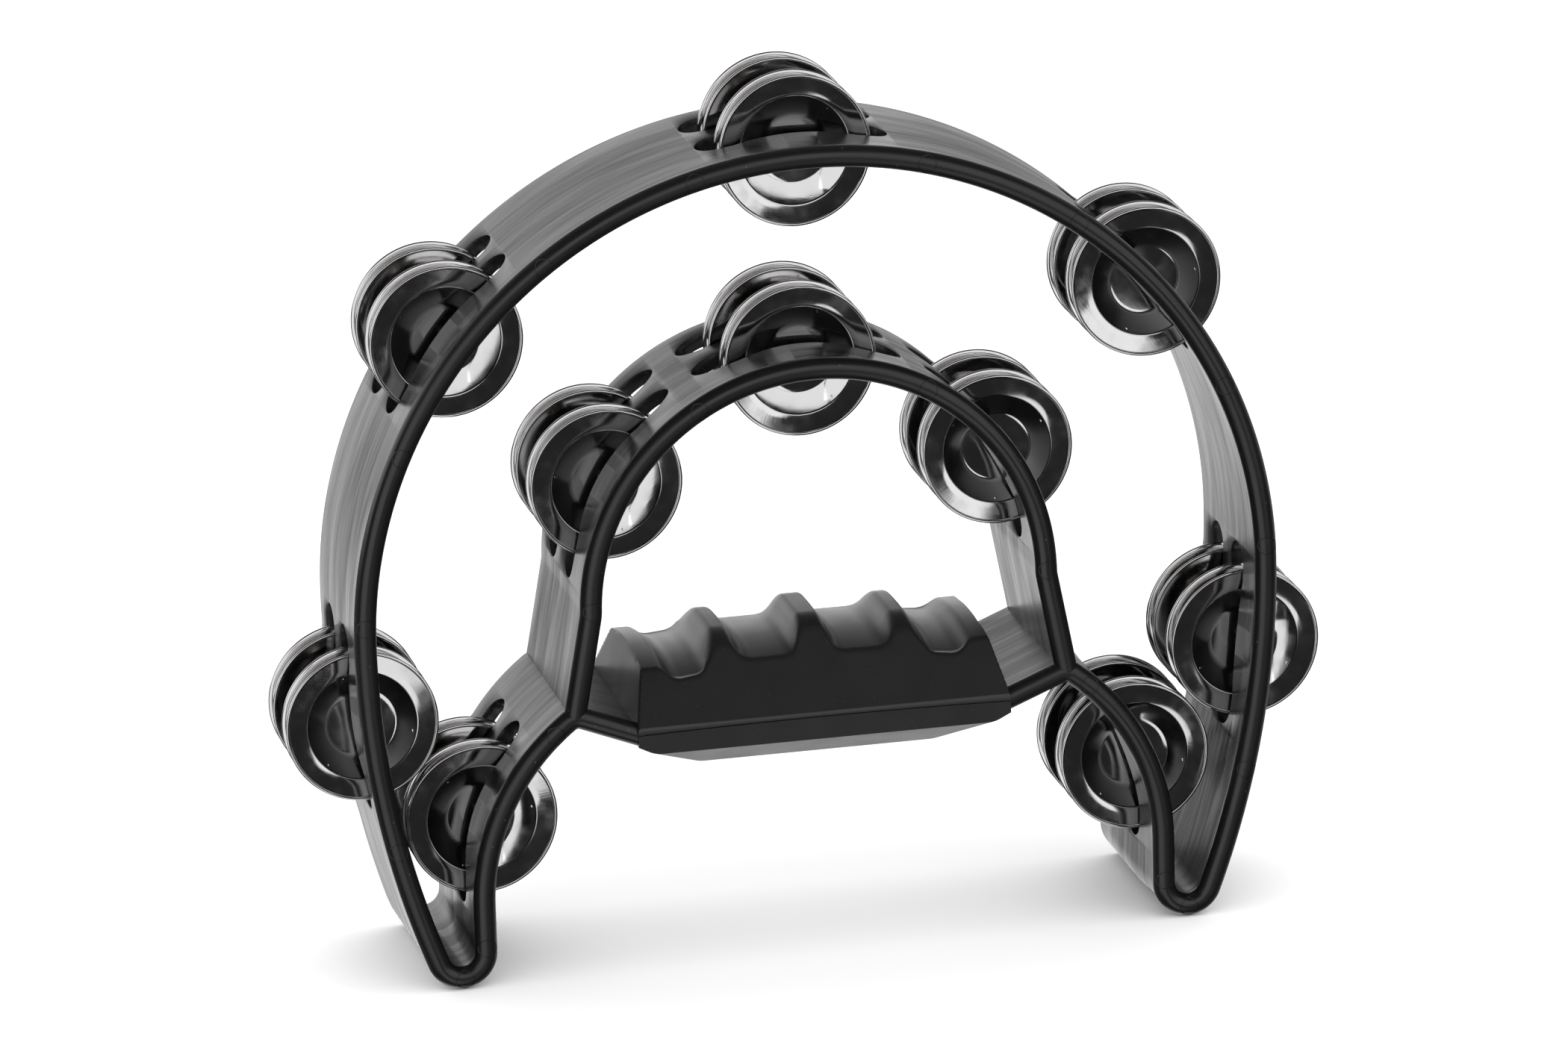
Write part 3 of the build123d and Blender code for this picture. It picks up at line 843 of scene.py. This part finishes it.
def jingle_section(j):
    """The sheet's front line from hole to lip, the lip's roll and the back line, as radius and depth."""
    floor, brim = j.depth - j.sheet, j.brim_depth + j.brim_slope
    foot = (j.ring - 0.5 * MM, brim + j.ring_step)
    # the dish's side is a plain cone, rounded into its flat floor
    lean = (floor - foot[1]) / (foot[0] - j.dish)
    round_half = 0.8 * MM
    front = [(j.hole, floor), (j.dish * 0.6, floor), (j.dish - round_half, floor)]
    for t in (0.25, 0.5, 0.75, 1.0):
        reach = round_half * (2 * t - 1)
        front.append((j.dish + reach, floor - lean * round_half * t * t))
    # the step of the ring has a rounded top
    front += [foot, (j.ring - 0.3 * MM, brim + 0.3 * MM), (j.ring - 0.12 * MM, brim + 0.06 * MM),
              (j.ring + 0.15 * MM, brim)]
    outer = j.radius - 2 * j.lip
    front += [(j.ring + (outer - j.ring) * t, brim - j.brim_slope * t) for t in (0.35, 0.7, 0.97)]
    roll = [(j.radius - j.lip + j.lip * math.cos(t), j.lip - j.lip * math.sin(t))
            for t in [math.radians(170 - i * 25) for i in range(11)]]
    back = [(r, y + j.sheet) for r, y in reversed(front)]
    return front + roll + back


def spun(outline, closed, axis, steps):
    """A turned solid from an outline of vertex places, round an axis through the origin."""
    bm = bmesh.new()
    verts = [bm.verts.new(place) for place in outline]
    ends = verts[1:] + verts[:1] if closed else verts[1:]
    edges = [bm.edges.new(pair) for pair in zip(verts, ends)]
    bmesh.ops.spin(
        bm, geom=verts + edges, axis=axis, cent=(0, 0, 0), angle=2 * math.pi, steps=steps, use_merge=True)
    bmesh.ops.remove_doubles(bm, verts=bm.verts, dist=1e-6)
    bmesh.ops.recalc_face_normals(bm, faces=bm.faces)
    return bm


def disc_mesh(j):
    """One jingle on the Y axis, lip at y = 0 and dish towards +Y, with a flat map of the disc."""
    bm = spun([(r, y, 0) for r, y in jingle_section(j)], True, (0, 1, 0), j.segments)
    layer = bm.loops.layers.uv.new("disc")
    for face in bm.faces:
        for loop in face.loops:
            place = loop.vert.co
            loop[layer].uv = (0.5 + place.x / (2 * j.radius), 0.5 + place.z / (2 * j.radius))
    return mesh_from(bm, "disc")


def jingle_tree():
    """Node group that puts the nubs on a disc, turns it, faces it and moves it to its pin."""
    tree, given, end = new_tree("jingle", [
        ("nub_count", "NodeSocketInt"),
        *[(label, "NodeSocketFloat") for label in ("nub_ring", "nub_size", "nub_depth")],
        *[(label, "NodeSocketVector") for label in ("turn", "facing", "place")],
        ("material", "NodeSocketMaterial")])
    ring = wired(tree, "GeometryNodeMeshCircle", {
        "Vertices": given["nub_count"], "Radius": given["nub_ring"]})
    depth = wired(tree, "ShaderNodeCombineXYZ", {1: given["nub_depth"]})
    upright = wired(tree, "GeometryNodeTransform", {
        "Geometry": ring, "Rotation": (math.pi / 2, 0, 0), "Translation": depth})
    ball = wired(tree, "GeometryNodeMeshUVSphere", {
        "Segments": 14, "Rings": 8, "Radius": given["nub_size"]})
    nubs = wired(tree, "GeometryNodeInstanceOnPoints", {
        "Points": upright, "Instance": ball, "Scale": (1, 0.6, 1)})
    turned = wired(tree, "GeometryNodeTransform", {
        "Geometry": joined(tree, nubs, given["Geometry"]), "Rotation": given["turn"]})
    faced = wired(tree, "GeometryNodeTransform", {
        "Geometry": turned, "Rotation": given["facing"], "Translation": given["place"]})
    return finish_tree(tree, faced, given["material"], end)


class TAMB_OT_jingles(bpy.types.Operator):
    """Forty loose jingles, in pairs with their dishes towards each other"""

    bl_idname = "tambourine.jingles"
    bl_label = "Jingles"

    def execute(self, context):
        j = settings().jingle
        material = bright_nickel_on_steel()
        tree = jingle_tree()
        disc = disc_mesh(j)
        nub_inset = 1.5 * MM
        turn = j.seed
        for station in STATIONS:
            for row in ROWS:
                for side in SIDES:
                    node = f"jingle_{station}_{row}_{side}"
                    low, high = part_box(node)
                    middle = (low + high) / 2
                    lip_y = low.y if side == "fore" else high.y
                    turn = (turn * 73 + 41) % 360
                    mesh = grow(node, disc.copy(), tree, {
                        "nub_count": 3, "nub_ring": j.nub_ring, "nub_size": j.nub_size,
                        "nub_depth": j.brim_depth + nub_inset, "turn": (0, math.radians(turn), 0),
                        "facing": (0, 0, 0 if side == "fore" else math.pi),
                        "place": (middle.x, lip_y, middle.z), "material": material})
                    shade(mesh, 32)
                    jingle = link(f"{node}_disc", mesh)
                    finish_piece(jingle, material, "jingle_steel", f"{node}_body", node)
        return {"FINISHED"}


# ---------------------------------------------------------------- pins and screws


def scatter_tree():
    """Node group that puts a copy of the mesh on each point."""
    tree, given, end = new_tree("fasteners", [
        ("places", "NodeSocketObject"), ("material", "NodeSocketMaterial")])
    copies = wired(tree, "GeometryNodeInstanceOnPoints", {
        "Points": geometry_of(tree, given["places"]), "Instance": given["Geometry"]})
    return finish_tree(tree, copies, given["material"], end)


def scatter(name, piece, places, material, slot, *replaced):
    """One finished piece made of copies of a turned solid."""
    spots = points_object(f"{name}_places", places)
    mesh = grow(name, mesh_from(piece, name), scatter_tree(), {"places": spots, "material": material})
    bpy.data.objects.remove(spots)
    shade(mesh, 40)
    finish_piece(link(name, mesh), material, slot, ROOT, *replaced)


class TAMB_OT_fasteners(bpy.types.Operator):
    """Ten nail pins and the grip's two screws"""

    bl_idname = "tambourine.fasteners"
    bl_label = "Pins and screws"

    def execute(self, context):
        low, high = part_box("pin_outer_top")
        head = (high.x - low.x) / 2
        shank, head_height = 1.25 * MM, 0.5 * MM
        back = high.y - head_height
        section = [
            (0, low.y), (shank - 0.3 * MM, low.y), (shank, low.y + 0.4 * MM), (shank, back), (head, back),
            (head, back + 0.15 * MM), (head * 0.9, back + 0.35 * MM), (head * 0.55, high.y), (0, high.y)]
        pin = spun([(r, 0, y) for r, y in section], False, (0, 0, 1), FASTENER_STEPS)
        bmesh.ops.rotate(pin, verts=pin.verts, cent=(0, 0, 0), matrix=Matrix.Rotation(-math.pi / 2, 3, "X"))
        places = [(x, 0, z) for x, z in map(station_place, STATIONS)]
        nodes = [f"pin_{station}" for station in STATIONS]
        scatter("nail_pins", pin, places, drawn_wire(), "pin_steel", *nodes)

        low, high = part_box("grip_screws")
        head_radius, shank_radius, head_height = 3.3 * MM, 1.55 * MM, 2.2 * MM
        drive_radius, drive_rim, drive_depth = 1.2 * MM, 1.5 * MM, 1.1 * MM
        rim, tip_radius, tip_length = 0.35 * MM, 0.3 * MM, 2 * MM
        seat = low.z + head_height
        section = [
            (0, low.z + drive_depth), (drive_radius, low.z + drive_depth), (drive_rim, low.z),
            (head_radius - rim, low.z), (head_radius, low.z + rim), (head_radius, seat),
            (shank_radius, seat), (shank_radius, high.z - tip_length), (tip_radius, high.z), (0, high.z)]
        screw = spun([(r, 0, z) for r, z in section], False, (0, 0, 1), FASTENER_STEPS)
        spread = (high.x - low.x) / 2 - head_radius
        places = [(-spread, 0, 0), (spread, 0, 0)]
        scatter("cover_screws", screw, places, zinc_plate(), "screw_steel", "grip_screws")
        return {"FINISHED"}


# ---------------------------------------------------------------- stage


def softbox(name, azimuths, elevations, radiance):
    """A softbox that only mirrors see, between azimuths right of the front and elevations, in degrees."""
    distance = 3.0
    middle = Vector((0, 0, 0.11))
    turn, lift = math.radians(sum(azimuths) / 2), math.radians(sum(elevations) / 2)
    level = Vector((math.sin(turn), -math.cos(turn), 0))
    towards = level * math.cos(lift) + Vector((0, 0, math.sin(lift)))
    data = bpy.data.lights.new(name, "AREA")
    data.shape = "RECTANGLE"
    data.size = 2 * distance * math.tan(math.radians(azimuths[1] - azimuths[0]) / 2)
    data.size_y = 2 * distance * math.tan(math.radians(elevations[1] - elevations[0]) / 2)
    data.energy = radiance * math.pi * data.size * data.size_y
    lamp = bpy.data.objects.new(name, data)
    lamp.location = middle + towards * distance
    lamp.rotation_euler = (-towards).to_track_quat("-Z", "Y").to_euler()
    lamp.visible_camera = False
    lamp.visible_diffuse = False
    bpy.context.scene.collection.objects.link(lamp)


def studio_world():
    """White for the lens and plain surfaces; mirrors see a white sweep behind and a dark room."""
    world = bpy.data.worlds.new("studio")
    world.use_nodes = True
    tree = world.node_tree
    direction = add_node(tree, "ShaderNodeTexCoord").outputs["Generated"]
    right, back, up = add_node(tree, "ShaderNodeSeparateXYZ", {0: direction}).outputs
    behind = mapped(tree, back, (0.0, 0.25), (0.0, 1.0), "SMOOTHSTEP")
    overhead = mapped(tree, up, (0.1, 0.75), (1.45, 0.1), "SMOOTHSTEP")
    table = mapped(tree, up, (-0.55, -0.3), (0.7, 1.0), "SMOOTHSTEP")
    right_end = mapped(tree, right, (0.24, 0.4), (1.0, 0.3), "SMOOTHSTEP")
    left_end = mapped(tree, right, (-0.34, -0.27), (0.12, 1.0), "SMOOTHSTEP")
    above_table = mapped(tree, up, (-0.08, 0.02), (0.0, 1.0), "SMOOTHSTEP")
    left_low = maths(tree, "MAXIMUM", left_end, above_table)
    sweep = behind
    for share in (overhead, table, right_end, left_low):
        sweep = maths(tree, "MULTIPLY", sweep, share)
    dark_room = 0.02
    room = tree.nodes["Background"]
    room.inputs["Color"].default_value = (1, 1, 1, 1)
    tree.links.new(maths(tree, "ADD", sweep, dark_room), room.inputs["Strength"])
    # the lens sees plain white, and plain surfaces are lit by half as much again
    path = add_node(tree, "ShaderNodeLightPath").outputs
    light = maths(tree, "MULTIPLY_ADD", path["Is Diffuse Ray"], 0.5, 1.0)
    white = add_node(tree, "ShaderNodeBackground", {"Color": (1, 1, 1, 1), "Strength": light})
    plain = maths(tree, "MAXIMUM", path["Is Camera Ray"], path["Is Diffuse Ray"])
    both = add_node(tree, "ShaderNodeMixShader", {0: plain, 1: room.outputs[0], 2: white.outputs[0]})
    tree.links.new(both.outputs[0], tree.nodes["World Output"].inputs["Surface"])
    # the kinds of ray are told apart only when rays find the world themselves
    world.cycles.sampling_method = "NONE"
    return world


class TAMB_OT_stage(bpy.types.Operator):
    """Pale floor, soft studio light and the camera"""

    bl_idname = "tambourine.stage"
    bl_label = "Stage"

    def execute(self, context):
        s = settings().stage
        scene = context.scene
        half = s.floor_size / 2
        mesh = bpy.data.meshes.new("floor")
        corners = [(-half, -half, 0), (half, -half, 0), (half, half, 0), (-half, half, 0)]
        mesh.from_pydata(corners, [], [(0, 1, 2, 3)])
        floor = link("floor", mesh)
        mesh.materials.append(seamless_paper())
        floor.visible_glossy = False
        floor.visible_shadow = False
        scene.world = studio_world()
        softbox("front_high", (-11, 60), (4, 42), 1.0)
        softbox("left", (-60, -12), (-36, 30), 1.0)
        softbox("right", (16, 42), (-12, 3), 1.1)
        softbox("low_card", (-11, 9), (-58, -22), 1.0)
        camera = bpy.data.cameras.new("camera")
        camera.lens, camera.sensor_width = s.lens, 36
        camera.clip_start, camera.clip_end = 0.01, 100
        ahead = Vector((math.sin(s.azimuth) * math.cos(s.elevation),
                        math.cos(s.azimuth) * math.cos(s.elevation), -math.sin(s.elevation)))
        level = ahead.cross(Vector((0, 0, 1))).normalized()
        above = level.cross(ahead)
        right = level * math.cos(s.roll) + above * math.sin(s.roll)
        up = right.cross(ahead)
        taker = bpy.data.objects.new("camera", camera)
        turned = Matrix((right, up, -ahead)).transposed().to_4x4()
        taker.matrix_world = Matrix.Translation(s.camera_at) @ turned
        scene.collection.objects.link(taker)
        scene.camera = taker
        scene.view_settings.view_transform = "Standard"
        return {"FINISHED"}


# ---------------------------------------------------------------- add-on


def group(kind, name, description):
    """A pointer to one of the property groups."""
    return bpy.props.PointerProperty(type=kind, name=name, description=description)


class TAMB_PG_all(bpy.types.PropertyGroup):
    frame: group(TAMB_PG_frame, "Frame", "Sizes of the moulded frame")
    grip: group(TAMB_PG_grip, "Grip", "Sizes of the hand grip")
    jingle: group(TAMB_PG_jingle, "Jingle", "Sizes of one jingle")
    finish: group(TAMB_PG_finish, "Finish", "Colours")
    stage: group(TAMB_PG_stage, "Stage", "Camera and floor")


class TAMB_PT_build(bpy.types.Panel):
    """Lists the steps that build the tambourine"""

    bl_idname = "TAMB_PT_build"
    bl_label = "Tambourine"
    bl_space_type = "VIEW_3D"
    bl_region_type = "UI"
    bl_category = "Tambourine"

    def draw(self, context):
        for operator in OPERATORS:
            self.layout.operator(operator.bl_idname)


OPERATORS = (TAMB_OT_frame, TAMB_OT_grip, TAMB_OT_jingles, TAMB_OT_fasteners, TAMB_OT_stage)
CLASSES = (TAMB_PG_frame, TAMB_PG_grip, TAMB_PG_jingle, TAMB_PG_finish, TAMB_PG_stage, TAMB_PG_all,
           *OPERATORS, TAMB_PT_build)


def register():
    for cls in CLASSES:
        bpy.utils.register_class(cls)
    bpy.types.Scene.tambourine = bpy.props.PointerProperty(type=TAMB_PG_all)


def unregister():
    del bpy.types.Scene.tambourine
    for cls in reversed(CLASSES):
        bpy.utils.unregister_class(cls)


def main():
    register()
    bpy.ops.tambourine.frame()
    bpy.ops.tambourine.grip()
    bpy.ops.tambourine.jingles()
    bpy.ops.tambourine.fasteners()
    bpy.ops.tambourine.stage()


if __name__ == "__main__":
    main()
